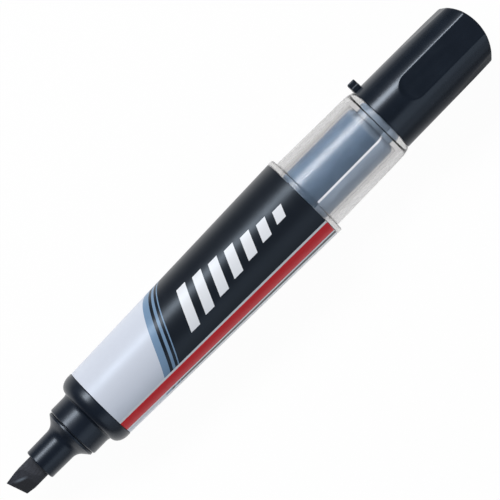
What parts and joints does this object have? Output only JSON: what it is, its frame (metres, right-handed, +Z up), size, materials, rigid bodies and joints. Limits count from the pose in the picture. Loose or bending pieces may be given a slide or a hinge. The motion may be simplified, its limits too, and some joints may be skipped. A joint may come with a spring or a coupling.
{
  "type": "whiteboard marker",
  "caption": "Cartridge whiteboard marker with a chisel felt nib, a film-wrapped tapered barrel, a clear screw-on tail over the ink cartridge, and a cap posted on the tail.",
  "frame": {"origin": "on the ground under the middle of the marker's length, with the marker lying on the flange of its tail", "axes": "+X along the marker's axis from the nib to the cap, +Y towards the cap's tab, +Z up out of the cap's upper thumb flat"},
  "size_m": [0.1346, 0.0202, 0.0202],
  "materials": {
    "inked_felt": "fibre felt soaked with black ink",
    "black_plastic": "moulded, satin gloss",
    "pale_plastic": "moulded, natural",
    "printed_film": "printed film, satin",
    "wick_fibre": "bundled fibre",
    "cartridge_plastic": "translucent",
    "seal_rubber": "soft",
    "black_ink": "liquid",
    "clear_plastic": "clear, polished",
    "liner_plastic": "natural, soft"
  },
  "bodies": {
    "body": {"nib": "inked_felt", "nib_holder": "black_plastic", "front_collar": "black_plastic", "barrel": "pale_plastic", "label_film": "printed_film", "feed_wick": "wick_fibre", "ink_collector": "pale_plastic", "piercing_tube": "pale_plastic"},
    "cartridge": {"cartridge_bottle": "cartridge_plastic", "cartridge_seal": "seal_rubber", "cartridge_end_plug": "cartridge_plastic", "cartridge_ink": "black_ink"},
    "tail": {"tail_barrel": "clear_plastic"},
    "liner": {"cap_liner": "liner_plastic"},
    "cap": {"cap_shell": "black_plastic"}
  },
  "joints": [
    {"name": "cartridge_draw", "type": "slide", "parent": "body", "child": "cartridge", "axis": [1, 0, 0], "range_m": [0, 0.006]},
    {"name": "tail_turn", "type": "hinge", "parent": "cartridge", "child": "tail", "pos_m": [0.017, 0, 0.0101], "axis": [1, 0, 0], "range_deg": [0, 720]},
    {"name": "cap_pull", "type": "slide", "parent": "tail", "child": "liner", "axis": [1, 0, 0], "range_m": [0, 0.03]},
    {"name": "cap_turn", "type": "hinge", "parent": "liner", "child": "cap", "pos_m": [0.0397, 0, 0.0101], "axis": [1, 0, 0], "continuous": true}
  ],
  "couplings": [
    {"joint": "cartridge_draw", "follows": "tail_turn", "m_per_rad": 0.00047746}
  ]
}
